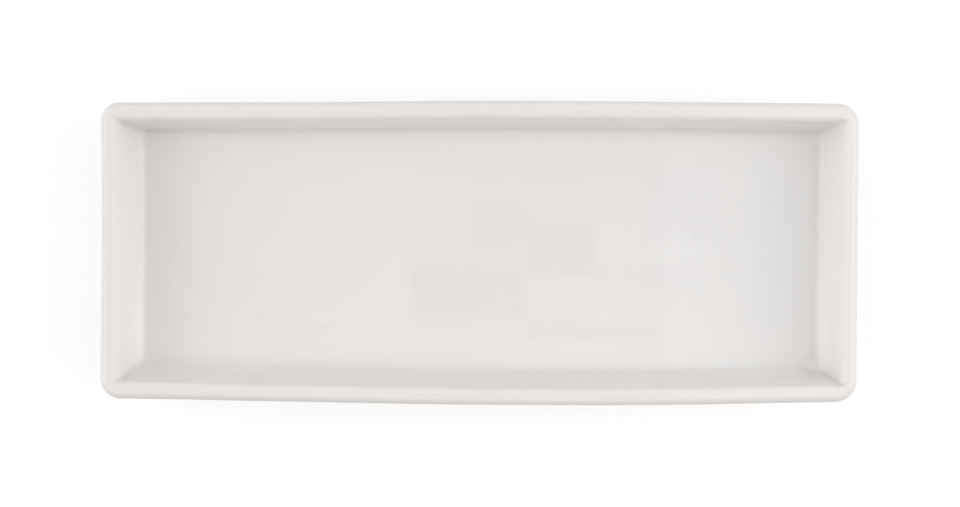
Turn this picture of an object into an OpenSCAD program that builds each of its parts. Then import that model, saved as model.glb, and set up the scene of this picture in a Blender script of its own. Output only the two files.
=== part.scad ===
// Asparagus plate: a long, shallow tray of glazed porcelain on a bare foot ring.
// X runs along the length, Y across the width and Z up from the table.
// The origin is the middle of the standing face. All sizes are in millimetres.

/* [Plate] */
// Length over the rim
plate_l = 300; // [250:5:400]
// Width over the rim
plate_w = 121; // [95:1:180]
// Height from the table to the top of the rim
plate_h = 30; // [24:1:45]
// Corner radius of the outline
corner_r = 8.2; // [7:0.1:16]

/* [Rim] */
// Width of the rim, from the outline to the well
rim_w = 7; // [6.5:0.1:9]
// Radius of the rim's outer round
rim_outer_r = 3.4; // [2.5:0.1:3.6]
// Radius of the rim's inner round
rim_inner_r = 2.8; // [1.5:0.1:2.9]

/* [Walls] */
// Lean of the walls' outside from upright, in degrees
outer_lean = 7; // [3:1:12]
// Lean of the walls' inside from upright, in degrees
inner_lean = 3; // [2:1:8]
// Radius of the well's upright corners at the rim
well_corner_r = 4.4; // [3:0.1:10]
// Radius of the cove between wall and floor
cove_r = 3; // [2:0.1:6]
// Radius of the heel between wall and underside
heel_r = 4; // [2:0.1:6]

/* [Floor and foot] */
// Thickness of the floor
floor_t = 4.8; // [3.5:0.1:8]
// Height of the foot ring below the underside
foot_h = 1.8; // [1.2:0.1:4]
// Width of the foot ring
foot_w = 3; // [2:0.1:6]
// Distance from the outline in to the foot ring
foot_inset = 14; // [12:0.5:24]
// Outer corner radius of the foot ring
foot_corner_r = 8; // [7:0.5:16]
// Radius of the standing face's edges
foot_edge_r = 0.7; // [0.3:0.1:0.9]

/* [Glaze] */
// Thickness of the glaze
glaze_t = 0.35; // [0.2:0.05:0.6]

/* [Hidden] */

$fn = 96;

// How far a round runs past its tangent point, so that it meets the next face in a clean edge
bite = 0.01;
// How far a cut runs past what it cuts
overrun = 1;

underside_z = foot_h;
floor_z = foot_h + floor_t;
// Longer than any straight way through the plate
reach = plate_l + plate_w;

// A section cuts a side square on: x is 0 at the outline and falls inward, y is height.
// These are the middles of its rounds, and the lengths of the straight walls between them.
rim_at = [-rim_outer_r, plate_h - rim_outer_r];
heel_step = rim_outer_r - heel_r;
outer_wall = (rim_at.y - heel_step * sin(outer_lean) - underside_z - heel_r + bite) / cos(outer_lean);
heel_x = rim_at.x + heel_step * cos(outer_lean) - outer_wall * sin(outer_lean);

lip_at = [rim_inner_r - rim_w, plate_h - rim_inner_r + bite];
cove_step = rim_inner_r + cove_r;
inner_wall = (lip_at.y + cove_step * sin(inner_lean) - floor_z - cove_r + bite) / cos(inner_lean);
cove_x = lip_at.x - cove_step * cos(inner_lean) - inner_wall * sin(inner_lean);

// How far inside the outline the axes of the upright corners lie
outline_inset = max(corner_r, -heel_x);
well_inset = max(rim_w + well_corner_r, -cove_x);
foot_inset_axis = foot_inset + foot_corner_r;

function corner_axis(inset) = [plate_l / 2 - inset, plate_w / 2 - inset, 0];

// The solid's outside, at the glazed surface or a skin's thickness inside it
module outer_section(skin) {
    intersection() {
        union() {
            translate(rim_at) rotate(-outer_lean) {
                circle(r = rim_outer_r - skin);
                translate([heel_step, -outer_wall]) circle(r = heel_r - skin);
                translate([heel_step - heel_r, -outer_wall]) square([2 * heel_r - skin, outer_wall]);
            }
            translate([-reach, 0]) square([reach + heel_x, plate_h - skin]);
            translate([-reach, rim_at.y]) square([reach + rim_at.x, rim_outer_r - skin]);
        }
        translate([-reach, underside_z + skin]) square([reach, plate_h]);
    }
}

// The hollow above the floor, at the glazed surface or a skin's thickness below it
module well_section(skin) {
    intersection() {
        union() {
            translate(lip_at) rotate(-inner_lean) {
                translate([-cove_step, -inner_wall]) circle(r = cove_r + skin);
                translate([skin - rim_inner_r - 2 * cove_r, -inner_wall])
                    square([2 * cove_r, inner_wall]);
            }
            translate([-reach, 0]) square([reach + cove_x, plate_h + overrun]);
            difference() {
                translate([-reach, lip_at.y - rim_inner_r])
                    square([reach + lip_at.x, 2 * rim_inner_r + overrun]);
                translate(lip_at) rotate(-inner_lean) {
                    circle(r = rim_inner_r - skin);
                    translate([skin - rim_inner_r, -reach]) square([reach, reach]);
                }
            }
        }
        translate([-reach, floor_z - skin]) square([reach, reach]);
    }
}

module foot_section() {
    top = underside_z + glaze_t + overrun;
    translate([-foot_inset - foot_w, 0]) {
        for (x = [foot_edge_r, foot_w - foot_edge_r])
            translate([x, foot_edge_r]) circle(r = foot_edge_r);
        translate([foot_edge_r, 0]) square([foot_w - 2 * foot_edge_r, top]);
        translate([0, foot_edge_r]) square([foot_w, top - foot_edge_r]);
    }
}

// A section carried along both long sides, both ends and round all four corners, whose axes lie a
// distance inside the outline
module around(inset) {
    axis = corner_axis(inset);
    for (turn = [0, 180])
        rotate(turn) {
            along(axis.y, 2 * axis.x) children();
            rotate(90) along(axis.x, 2 * axis.y) children();
        }
    for (x = [0, 1], y = [0, 1])
        mirror([x, 0, 0]) mirror([0, y, 0])
            translate(axis) rotate_extrude(angle = 90) children();
}

module along(distance, length) {
    translate([0, distance, 0])
        rotate([90, 0, 90]) linear_extrude(height = length, center = true) children();
}

// The stretch of a section that lies outside the corner axes, with those axes at x = 0
module outside_axis(inset) {
    intersection() {
        translate([inset, 0]) children();
        square([inset, plate_h + overrun]);
    }
}

// A block whose four sides have one section, from a height up
module block(inset, low, high) {
    axis = corner_axis(inset);
    around(inset) outside_axis(inset) children();
    translate([-axis.x, -axis.y, low]) cube([2 * axis.x, 2 * axis.y, high - low]);
}

// The tray above its foot
module tray(skin) {
    difference() {
        block(outline_inset, underside_z + skin, plate_h - skin) outer_section(skin);
        block(well_inset, floor_z - skin, plate_h + overrun) well_section(skin);
    }
}

// A flat block whose sides lie a distance inside the outline, along the foot ring
module foot_block(inset, low, high) {
    block(foot_inset_axis, low, high)
        translate([-reach, low]) square([reach - inset, high - low]);
}

module porcelain_body() {
    color("ivory") {
        tray(glaze_t);
        around(foot_inset_axis) outside_axis(foot_inset_axis) foot_section();
    }
}

module glaze_coat() {
    color("whitesmoke")
        difference() {
            tray(0);
            tray(glaze_t);
            foot_block(foot_inset, 0, underside_z + glaze_t + overrun);
        }
}

module underside_glaze() {
    color("whitesmoke")
        foot_block(foot_inset + foot_w, underside_z, underside_z + glaze_t);
}

porcelain_body();
glaze_coat();
underside_glaze();
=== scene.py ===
"""Asparagus plate: a long, shallow tray of glazed porcelain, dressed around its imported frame.

Sizes are in millimetres and angles in degrees. Every mesh is written in metres, in the frame's
own axes: X along the length, Y across the width and Z up from the table.
"""

import logging
import math
from dataclasses import dataclass
from enum import Enum

import bpy
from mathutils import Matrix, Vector

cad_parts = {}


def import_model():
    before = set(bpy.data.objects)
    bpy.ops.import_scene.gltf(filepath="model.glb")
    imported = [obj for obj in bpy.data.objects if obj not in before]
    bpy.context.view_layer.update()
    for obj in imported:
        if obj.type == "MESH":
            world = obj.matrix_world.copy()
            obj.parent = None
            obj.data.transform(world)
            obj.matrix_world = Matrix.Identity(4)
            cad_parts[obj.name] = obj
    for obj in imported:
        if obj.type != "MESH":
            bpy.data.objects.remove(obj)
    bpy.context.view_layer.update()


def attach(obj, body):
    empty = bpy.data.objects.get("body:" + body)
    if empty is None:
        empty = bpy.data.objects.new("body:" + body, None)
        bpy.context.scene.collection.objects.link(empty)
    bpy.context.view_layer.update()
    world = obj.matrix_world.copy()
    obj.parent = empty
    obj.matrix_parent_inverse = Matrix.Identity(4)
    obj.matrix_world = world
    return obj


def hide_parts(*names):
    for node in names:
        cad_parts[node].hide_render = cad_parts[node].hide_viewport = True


LOG = logging.getLogger("asparagus_plate")

MM = 0.001
PHOTO_WIDTH = 960
PHOTO_HEIGHT = 507
QUARTER_TURN = 90.0
SIDES = 4
NOISE_MEAN = 0.5

# The Mix node's sockets for colours, by number, because their names come up more than once
MIX_FACTOR, MIX_FIRST, MIX_SECOND, MIX_RESULT = 0, 6, 7, 2

Point = tuple[float, float, float]
Colour = tuple[float, float, float, float]

MIDDLE: Point = (0.0, 0.0, 0.0)
WHITE: Colour = (1.0, 1.0, 1.0, 1.0)
BLACK: Colour = (0.0, 0.0, 0.0, 1.0)


def ease(share: float) -> float:
    """Turns a share into one that leaves 0 and reaches 1 softly.

    Args:
        share: Any number; it is cut to the span from 0 to 1.

    Returns:
        The softened share.
    """
    cut = min(max(share, 0.0), 1.0)
    return cut * cut * (3.0 - 2.0 * cut)


@dataclass(frozen=True)
class SideLine:
    """The run of one side of the outline, as offsets from the middle at even stations.

    Attributes:
        reach: Distance from the middle of the side to its first and last station.
        offsets: Distance of the outline from the plate's middle at each station.
    """

    reach: float
    offsets: tuple[float, ...]

    def at(self, along: float) -> float:
        """Runs one smooth curve through the stations.

        Args:
            along: Place along the side, from its middle.

        Returns:
            The outline's distance from the plate's middle there.
        """
        last = len(self.offsets) - 1
        place = min(max((along + self.reach) / (2.0 * self.reach) * last, 0.0), float(last))
        start = min(int(place), last - 1)
        share = place - start
        before, here, after, beyond = (
            self.offsets[min(max(start + step, 0), last)] for step in (-1, 0, 1, 2)
        )
        leave = (after - before) / 2.0
        arrive = (beyond - here) / 2.0
        return (
            here
            + leave * share
            + (3.0 * (after - here) - 2.0 * leave - arrive) * share**2
            + (leave + arrive - 2.0 * (after - here)) * share**3
        )


@dataclass(frozen=True)
class FiredOutline:
    """The plate's outline as it left the kiln: long sides bowed out, and one end a little askew.

    Sides and corners run in the order right, far, left, near, and each corner follows its side.

    Attributes:
        half_length: Half of the straight plan's length.
        half_width: Half of the straight plan's width.
        calm: Distance from the middle at which a wall moves fully with its side.
        right: Run of the right end.
        far: Run of the far long side.
        left: Run of the left end.
        near: Run of the near long side.
        corners: Radius of the near right, far right, far left and near left corner.
    """

    half_length: float = 150.0
    half_width: float = 60.5
    calm: float = 13.0
    right: SideLine = SideLine(49.0, (149.1, 149.3, 149.55, 149.8, 149.98))
    far: SideLine = SideLine(142.0, (59.6, 59.7, 60.2, 59.85, 59.1))
    left: SideLine = SideLine(49.0, (149.85, 149.6, 149.42, 149.3, 149.6))
    near: SideLine = SideLine(142.0, (57.65, 58.95, 60.1, 60.2, 59.05))
    corners: tuple[float, float, float, float] = (9.0, 8.3, 7.3, 8.3)

    def place(self, x: float, y: float) -> tuple[float, float]:
        """Moves a point of the straight plan to where it lies on the fired plate.

        Args:
            x: Place along the length.
            y: Place across the width.

        Returns:
            The moved point.
        """
        end = self.right if x > 0.0 else self.left
        side = self.far if y > 0.0 else self.near
        pull_x = ease(abs(x) / (self.half_length - self.calm)) * (self.half_length - end.at(y))
        pull_y = ease(abs(y) / (self.half_width - self.calm)) * (self.half_width - side.at(x))
        return x - math.copysign(pull_x, x), y - math.copysign(pull_y, y)


@dataclass(frozen=True)
class Station:
    """One ring of the plate, as its place on each of the four sides.

    Attributes:
        insets: Distance inside the outline, on each side.
        heights: Height above the table, on each side.
        corner: Radius of the ring's corners, or None to follow the outline's own.
    """

    insets: tuple[float, ...]
    heights: tuple[float, ...]
    corner: float | None = None


def level(inset: float, height: float, corner: float | None = None) -> Station:
    """Makes a station that lies the same way on all four sides."""
    return Station((inset,) * SIDES, (height,) * SIDES, corner)


def arc(centre: tuple[float, float], radius: float, start: float, end: float,
        steps: int) -> list[tuple[float, float]]:
    """Lays points along a round of the section.

    Args:
        centre: Inset and height of the round's middle.
        radius: Radius of the round.
        start: First angle; 0 points outward and 90 up.
        end: Last angle.
        steps: Number of equal steps from first to last.

    Returns:
        The inset and height of each point, both ends included.
    """
    turns = (math.radians(start + (end - start) * step / steps) for step in range(steps + 1))
    return [
        (centre[0] - radius * math.cos(turn), centre[1] + radius * math.sin(turn))
        for turn in turns
    ]


def round_about(centre: tuple[float, float], radius: float, start: float, end: float,
                steps: int, corner: float | None = None) -> list[Station]:
    """Lays level stations along a round of the section.

    Args:
        centre: Inset and height of the round's middle.
        radius: Radius of the round.
        start: First angle; 0 points outward and 90 up.
        end: Last angle.
        steps: Number of equal steps from first to last.
        corner: Radius of the rings' corners.

    Returns:
        The stations, both ends included.
    """
    return [level(*point, corner) for point in arc(centre, radius, start, end, steps)]


@dataclass(frozen=True)
class WellSide:
    """How the rim and the well's wall run on one side.

    Attributes:
        rim: Width of the rim, from the outline to the well.
        lean: Lean of the wall from upright.
        cove: Radius between wall and floor.
    """

    rim: float
    lean: float
    cove: float


@dataclass(frozen=True)
class TraySection:
    """The section that runs round the tray, square to its sides.

    Attributes:
        height: Height of the rim's top.
        outer_round: Radius of the rim's outside.
        inner_round: Radius of the rim's inside.
        outer_lean: Lean of the outside wall from upright.
        heel_round: Radius between wall and underside.
        sides: The well's right, far, left and near side.
        underside: Height of the underside.
        floor: Height of the floor.
        crown: How much the middle of the floor stands above its edge.
        foot: Inset of the foot ring's outer face.
        foot_width: Width of the foot ring.
        foot_corner: Radius of the foot ring's outer corners.
        foot_round: Radius of the standing face's edges.
        bare_line: Height at which the glaze ends on the foot ring.
        lip_corner: Radius of the well's upright corners at the lip.
        floor_corner: Radius of those corners at the floor.
        lap: How far a face that lies hidden runs on past the foot ring.
        steps: Number of steps in each round.
        rim_steps: Number of steps in the rim's outer round, which turns the farthest.
    """

    height: float = 30.0
    outer_round: float = 3.3
    inner_round: float = 2.5
    outer_lean: float = 7.0
    heel_round: float = 4.0
    sides: tuple[WellSide, ...] = (
        WellSide(5.85, 3.0, 3.0),
        WellSide(7.2, 8.0, 3.2),
        WellSide(6.4, 3.0, 3.0),
        WellSide(7.1, 8.0, 3.2),
    )
    underside: float = 1.8
    floor: float = 6.6
    crown: float = 0.15
    foot: float = 14.0
    foot_width: float = 3.0
    foot_corner: float = 8.0
    foot_round: float = 0.7
    bare_line: float = 0.95
    lip_corner: float = 1.8
    floor_corner: float = 3.4
    lap: float = 1.0
    steps: int = 10
    rim_steps: int = 12

    def outside(self, skin: float) -> list[Station]:
        """Follows the outside from the underside over the heel and wall to the rim's top.

        Args:
            skin: Distance below the glazed surface.

        Returns:
            The stations in order.
        """
        lean = math.radians(self.outer_lean)
        rim = (self.outer_round, self.height - self.outer_round)
        drop = rim[1] - self.underside - self.heel_round
        shift = (self.heel_round - self.outer_round) / math.cos(lean) + drop * math.tan(lean)
        heel = (self.outer_round + shift, self.underside + self.heel_round)
        return [
            *round_about(heel, self.heel_round - skin, -90.0, -self.outer_lean, self.steps),
            *round_about(rim, self.outer_round - skin, -self.outer_lean, 90.0, self.rim_steps),
        ]

    def inside(self, skin: float) -> list[Station]:
        """Follows the inside from the rim's top down the wall and cove to the floor.

        Args:
            skin: Distance below the glazed surface.

        Returns:
            The stations in order.
        """
        runs = []
        for side in self.sides:
            lean = math.radians(side.lean)
            lip = (side.rim - self.inner_round, self.height - self.inner_round)
            drop = lip[1] - self.floor - side.cove
            shift = (self.inner_round + side.cove) / math.cos(lean) + drop * math.tan(lean)
            cove = (lip[0] + shift, self.floor + side.cove)
            runs.append(
                [
                    *arc(lip, self.inner_round - skin, 90.0, 180.0 - side.lean, self.steps),
                    *arc(cove, side.cove + skin, -side.lean, -90.0, self.steps),
                ]
            )
        # The corners follow the outline's over the rim, then the lip's, and widen down the cove
        stations = []
        for index, points in enumerate(zip(*runs)):
            insets, heights = zip(*points)
            share = max(index / self.steps - 1.0, 0.0)
            widen = ease(share) * (self.floor_corner - self.lip_corner)
            corner = self.lip_corner + widen if index > self.steps // 2 else None
            stations.append(Station(insets, heights, corner))
        return stations

    def foot_ring(self, skin: float) -> list[Station]:
        """Follows the bare foot ring from its inner face under the standing face and up outside.

        Args:
            skin: Distance of the body's underside below the glazed one.

        Returns:
            The stations in order.
        """
        inner = self.foot + self.foot_width
        wide = self.foot_corner
        tight = wide - self.foot_width
        inside_round = (inner - self.foot_round, self.foot_round)
        outside_round = (self.foot + self.foot_round, self.foot_round)
        top = self.underside + skin
        return [
            level(inner + self.lap, top, tight),
            level(inner, top, tight),
            *round_about(inside_round, self.foot_round, -180.0, -90.0, self.steps, tight),
            *round_about(outside_round, self.foot_round, -90.0, 0.0, self.steps, wide),
            level(self.foot, top, wide),
            level(self.foot - self.lap, top, wide),
        ]


@dataclass(frozen=True)
class Potting:
    """Turns the section's stations into closed meshes on the fired outline.

    Attributes:
        outline: The fired outline.
        least_corner: Smallest radius of an upright corner in the well.
        corner_steps: Steps round a corner, an even number.
        long_steps: Steps along a long side.
        end_steps: Steps along an end.
    """

    outline: FiredOutline = FiredOutline()
    least_corner: float = 1.8
    corner_steps: int = 10
    long_steps: int = 64
    end_steps: int = 26

    def ring(self, station: Station) -> list[Point]:
        """Lays the points of one ring, from the near right corner's middle anticlockwise.

        Args:
            station: The ring's place in the section.

        Returns:
            The points on the fired plate, in millimetres.
        """
        line = self.outline
        inset = station.insets
        right, far = line.half_length - inset[0], line.half_width - inset[1]
        left, near = inset[2] - line.half_length, inset[3] - line.half_width
        follow = [
            max(radius - min(inset[side - 1], inset[side]), self.least_corner)
            for side, radius in enumerate(line.corners)
        ]
        radii = follow if station.corner is None else [station.corner] * SIDES
        places = ((right, near), (right, far), (left, far), (left, near))
        bends: list[list[Point]] = []
        for side, ((x, y), radius) in enumerate(zip(places, radii)):
            low, high = station.heights[side - 1], station.heights[side]
            bend = []
            for step in range(self.corner_steps + 1):
                share = step / self.corner_steps
                turn = math.radians(QUARTER_TURN * (side - 1 + share))
                bend.append(
                    (
                        x - math.copysign(radius, x) + radius * math.cos(turn),
                        y - math.copysign(radius, y) + radius * math.sin(turn),
                        low + (high - low) * ease(share),
                    )
                )
            bends.append(bend)
        plan: list[Point] = []
        for side, span in enumerate((self.end_steps, self.long_steps) * 2):
            start, end = bends[side][-1], bends[(side + 1) % SIDES][0]
            plan += bends[side]
            plan += [
                tuple(a + (b - a) * step / span for a, b in zip(start, end))
                for step in range(1, span)
            ]
        half = self.corner_steps // 2
        return [(*line.place(x, y), z) for x, y, z in plan[half:] + plan[:half]]

    def cap(self, points: list[Point], first: int, crown: float,
            facing_up: bool) -> tuple[list[Point], list[tuple[int, ...]]]:
        """Fills a ring with an even grid of four-sided faces.

        Args:
            points: The mesh's points so far.
            first: Number of the ring's first point.
            crown: How much the middle stands above the edge.
            facing_up: Which way the faces look.

        Returns:
            The new points inside the ring, and the faces.
        """
        rows = self.end_steps + self.corner_steps
        columns = self.long_steps + self.corner_steps
        count = 2 * (rows + columns)
        near = [first + (2 * rows + columns + i) % count for i in range(columns + 1)]
        far = [first + rows + columns - i for i in range(columns + 1)]
        left = [first + 2 * rows + columns - j for j in range(rows + 1)]
        right = [first + j for j in range(rows + 1)]
        grid = {(i, 0): near[i] for i in range(columns + 1)}
        grid |= {(i, rows): far[i] for i in range(columns + 1)}
        grid |= {(0, j): left[j] for j in range(rows + 1)}
        grid |= {(columns, j): right[j] for j in range(rows + 1)}
        made: list[Point] = []
        for j in range(1, rows):
            v = j / rows
            for i in range(1, columns):
                u = i / columns
                x, y, z = (
                    (1 - v) * points[near[i]][k]
                    + v * points[far[i]][k]
                    + (1 - u) * points[left[j]][k]
                    + u * points[right[j]][k]
                    - (1 - u) * (1 - v) * points[near[0]][k]
                    - u * (1 - v) * points[near[columns]][k]
                    - (1 - u) * v * points[far[0]][k]
                    - u * v * points[far[columns]][k]
                    for k in range(3)
                )
                # The two factors of 4 lift the middle of the cap by the whole crown
                rise = crown * 4.0 * u * (1 - u) * 4.0 * v * (1 - v)
                grid[i, j] = len(points) + len(made)
                made.append((x, y, z + rise))
        faces = []
        for j in range(rows):
            for i in range(columns):
                face = (grid[i, j], grid[i + 1, j], grid[i + 1, j + 1], grid[i, j + 1])
                faces.append(face if facing_up else face[::-1])
        return made, faces

    def throw(self, name: str, stations: list[Station], low_crown: float,
              high_crown: float) -> bpy.types.Object:
        """Builds one closed piece from its stations, capped below and above.

        Args:
            name: The piece's name.
            stations: The stations, from the underside's middle over the outside to the top.
            low_crown: Rise of the cap that looks down.
            high_crown: Rise of the cap that looks up.

        Returns:
            The piece, smooth shaded.
        """
        points: list[Point] = []
        for station in stations:
            points += self.ring(station)
        count = len(points) // len(stations)
        faces: list[tuple[int, ...]] = []
        for row in range(len(stations) - 1):
            low, high = row * count, (row + 1) * count
            for step in range(count):
                after = (step + 1) % count
                faces.append((low + step, low + after, high + after, high + step))
        for first, crown, facing_up in (
            (0, low_crown, False),
            ((len(stations) - 1) * count, high_crown, True),
        ):
            new_points, new_faces = self.cap(points, first, crown, facing_up)
            points += new_points
            faces += new_faces
        mesh = bpy.data.meshes.new(name)
        mesh.from_pydata([tuple(value * MM for value in point) for point in points], [], faces)
        mesh.validate()
        mesh.polygons.foreach_set("use_smooth", [True] * len(mesh.polygons))
        piece = bpy.data.objects.new(name, mesh)
        bpy.context.scene.collection.objects.link(piece)
        return piece


@dataclass(frozen=True)
class Span:
    """A soft step, which carries one number from a start to an end as another number runs by.

    Attributes:
        low: Where it starts to change.
        high: Where it stops changing.
        start: Result at low and before.
        end: Result at high and beyond.
    """

    low: float
    high: float
    start: float = 0.0
    end: float = 1.0


class Signal:
    """A socket's value in a finish, with Python's arithmetic on it."""

    def __init__(self, graph: "NodeGraph", socket: bpy.types.NodeSocket) -> None:
        """Wraps one output socket of a graph."""
        self.graph = graph
        self.socket = socket

    def __add__(self, other: "Value") -> "Signal":
        """Adds."""
        return self.graph.maths("ADD", self, other)

    def __radd__(self, other: "Value") -> "Signal":
        """Adds, from the right."""
        return self.graph.maths("ADD", other, self)

    def __sub__(self, other: "Value") -> "Signal":
        """Takes away."""
        return self.graph.maths("SUBTRACT", self, other)

    def __rsub__(self, other: "Value") -> "Signal":
        """Takes away from the other."""
        return self.graph.maths("SUBTRACT", other, self)

    def __mul__(self, other: "Value") -> "Signal":
        """Multiplies."""
        return self.graph.maths("MULTIPLY", self, other)

    def __rmul__(self, other: "Value") -> "Signal":
        """Multiplies, from the right."""
        return self.graph.maths("MULTIPLY", other, self)

    def __truediv__(self, other: "Value") -> "Signal":
        """Divides."""
        return self.graph.maths("DIVIDE", self, other)

    def __rtruediv__(self, other: "Value") -> "Signal":
        """Divides the other."""
        return self.graph.maths("DIVIDE", other, self)

    def __abs__(self) -> "Signal":
        """Drops the sign."""
        return self.graph.maths("ABSOLUTE", self, 0.0)


Value = Signal | float


class Noise(Enum):
    """Which of a noise's outputs a finish takes."""

    VALUE = "Fac"
    COLOUR = "Color"


class NodeGraph:
    """A tree of nodes, built by calls and by arithmetic on signals."""

    def __init__(self, tree: bpy.types.NodeTree) -> None:
        """Empties the tree and takes it over."""
        self.tree = tree
        self.tree.nodes.clear()

    def node(self, kind: str, settings: dict[str, object] | None = None,
             inputs: dict[str | int, object] | None = None) -> bpy.types.Node:
        """Adds one node.

        Args:
            kind: The node's type.
            settings: Its own settings, which are set first.
            inputs: Values or signals for its sockets, by name or number.

        Returns:
            The node.
        """
        made = self.tree.nodes.new(kind)
        for name, value in (settings or {}).items():
            setattr(made, name, value)
        for name, value in (inputs or {}).items():
            if isinstance(value, Signal):
                self.tree.links.new(value.socket, made.inputs[name])
            else:
                made.inputs[name].default_value = value
        return made

    def maths(self, operation: str, first: Value, second: Value) -> Signal:
        """Adds one step of arithmetic.

        Args:
            operation: The Math node's operation.
            first: First number.
            second: Second number.

        Returns:
            The result.
        """
        made = self.node("ShaderNodeMath", {"operation": operation}, {0: first, 1: second})
        return Signal(self, made.outputs[0])

    def vector(self, operation: str, first: object, second: object) -> Signal:
        """Adds one step of vector arithmetic.

        Args:
            operation: The Vector Math node's operation.
            first: First vector.
            second: Second vector.

        Returns:
            The result, a number where the operation gives one.
        """
        made = self.node("ShaderNodeVectorMath", {"operation": operation}, {0: first, 1: second})
        number = operation in ("DOT_PRODUCT", "DISTANCE")
        return Signal(self, made.outputs["Value" if number else "Vector"])

    def scaled(self, vector: object, scale: Value) -> Signal:
        """Makes a vector longer or shorter.

        Args:
            vector: The vector.
            scale: What its length is multiplied by.

        Returns:
            The scaled vector.
        """
        made = self.node(
            "ShaderNodeVectorMath", {"operation": "SCALE"}, {0: vector, "Scale": scale}
        )
        return Signal(self, made.outputs[0])

    def split(self, vector: Signal) -> list[Signal]:
        """Takes a vector apart into its three numbers."""
        made = self.node("ShaderNodeSeparateXYZ", None, {0: vector})
        return [Signal(self, made.outputs[k]) for k in range(3)]

    def band(self, value: Signal, span: Span) -> Signal:
        """Carries a number over a soft step.

        Args:
            value: The number.
            span: The step.

        Returns:
            The result.
        """
        made = self.node(
            "ShaderNodeMapRange",
            {"interpolation_type": "SMOOTHSTEP"},
            {
                "Value": value,
                "From Min": span.low,
                "From Max": span.high,
                "To Min": span.start,
                "To Max": span.end,
            },
        )
        return Signal(self, made.outputs["Result"])

    def blend(self, factor: Value, first: object, second: object, how: str = "MIX") -> Signal:
        """Mixes two colours.

        Args:
            factor: 0 for the first, 1 for the second.
            first: First colour.
            second: Second colour.
            how: The Mix node's way of blending.

        Returns:
            The mixed colour.
        """
        made = self.node(
            "ShaderNodeMix",
            {"data_type": "RGBA", "blend_type": how},
            {MIX_FACTOR: factor, MIX_FIRST: first, MIX_SECOND: second},
        )
        return Signal(self, made.outputs[MIX_RESULT])

    def seen(self) -> Signal:
        """Tells rays that look at a thing or its reflection from those that light with it.

        Returns:
            1 for a ray that looks, 0 for one that lights.
        """
        path = self.node("ShaderNodeLightPath")
        camera, glossy, through = (
            Signal(self, path.outputs[f"Is {kind} Ray"])
            for kind in ("Camera", "Glossy", "Transmission")
        )
        return self.maths("MAXIMUM", self.maths("MAXIMUM", camera, glossy), through)


class FinishGraph(NodeGraph):
    """The nodes of one material, with the plate's own frame in millimetres at hand."""

    def __init__(self, name: str) -> None:
        """Starts an empty node material.

        Args:
            name: The material's name.
        """
        self.material = bpy.data.materials.new(name)
        self.material.use_nodes = True
        super().__init__(self.material.node_tree)
        place = self.node("ShaderNodeTexCoord")
        self.place = self.scaled(Signal(self, place.outputs["Object"]), 1.0 / MM)
        self.x, self.y, self.z = self.split(self.place)
        geometry = self.node("ShaderNodeNewGeometry")
        self.normal = Signal(self, geometry.outputs["Normal"])
        self.up = self.split(self.normal)[2]

    def stretched(self, stretch: Point) -> Signal:
        """Draws the plate's own frame out, so that a pattern there is finer along an axis."""
        made = self.node("ShaderNodeMapping", None, {"Vector": self.place, "Scale": stretch})
        return Signal(self, made.outputs[0])

    def away(self, place: Signal, start: tuple[float, float],
             end: tuple[float, float]) -> Signal:
        """Measures how far a place lies from a straight line, seen from above.

        Args:
            place: The place, with its height at 0.
            start: Where the line begins.
            end: Where it ends.

        Returns:
            The distance in millimetres.
        """
        run = (end[0] - start[0], end[1] - start[1], 0.0)
        span = run[0] ** 2 + run[1] ** 2
        offset = self.vector("SUBTRACT", place, (*start, 0.0))
        along = self.vector("DOT_PRODUCT", offset, tuple(value / span for value in run))
        share = self.maths("MINIMUM", self.maths("MAXIMUM", along, 0.0), 1.0)
        return self.vector("DISTANCE", offset, self.scaled(run, share))

    def finish(self, shader: bpy.types.Node) -> bpy.types.Material:
        """Connects the shader to the output and hands the material over."""
        self.node("ShaderNodeOutputMaterial", None, {0: Signal(self, shader.outputs[0])})
        return self.material

    def fire(self, colour: Signal, roughness: Signal, index: float,
             relief: Signal) -> bpy.types.Material:
        """Finishes the material as fired ware.

        Args:
            colour: Its colour.
            roughness: Its roughness.
            index: Index of refraction.
            relief: Height of its small unevenness, in millimetres.

        Returns:
            The material.
        """
        bump = self.node(
            "ShaderNodeBump", None, {"Strength": 1.0, "Distance": MM, "Height": relief}
        )
        shader = self.node(
            "ShaderNodeBsdfPrincipled",
            None,
            {
                "Base Color": colour,
                "Roughness": roughness,
                "IOR": index,
                "Normal": Signal(self, bump.outputs["Normal"]),
            },
        )
        return self.finish(shader)


@dataclass(frozen=True)
class Pattern:
    """A soft random pattern in a finish, about 0.5 on average.

    Attributes:
        size: Size of its largest patches.
        detail: How many finer layers it has.
        roughness: How strong those layers are.
        stretch: How much finer it is along each axis, or None for the same along all.
        output: Which of the noise's outputs is taken.
    """

    size: float
    detail: float = 2.0
    roughness: float = 0.5
    stretch: Point | None = None
    output: Noise = Noise.VALUE

    def lay(self, graph: FinishGraph) -> Signal:
        """Lays the pattern over a material.

        Args:
            graph: The material's nodes.

        Returns:
            The pattern.
        """
        made = graph.node(
            "ShaderNodeTexNoise",
            None,
            {
                "Vector": graph.stretched(self.stretch) if self.stretch else graph.place,
                "Scale": 1.0 / self.size,
                "Detail": self.detail,
                "Roughness": self.roughness,
            },
        )
        return Signal(graph, made.outputs[self.output.value])


class Tint(Enum):
    """What a speck in the glaze is made of, as its colour."""

    IRON = (0.150, 0.110, 0.085, 1.0)
    RUST = (0.480, 0.260, 0.120, 1.0)
    ASH = (0.560, 0.570, 0.530, 1.0)


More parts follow.
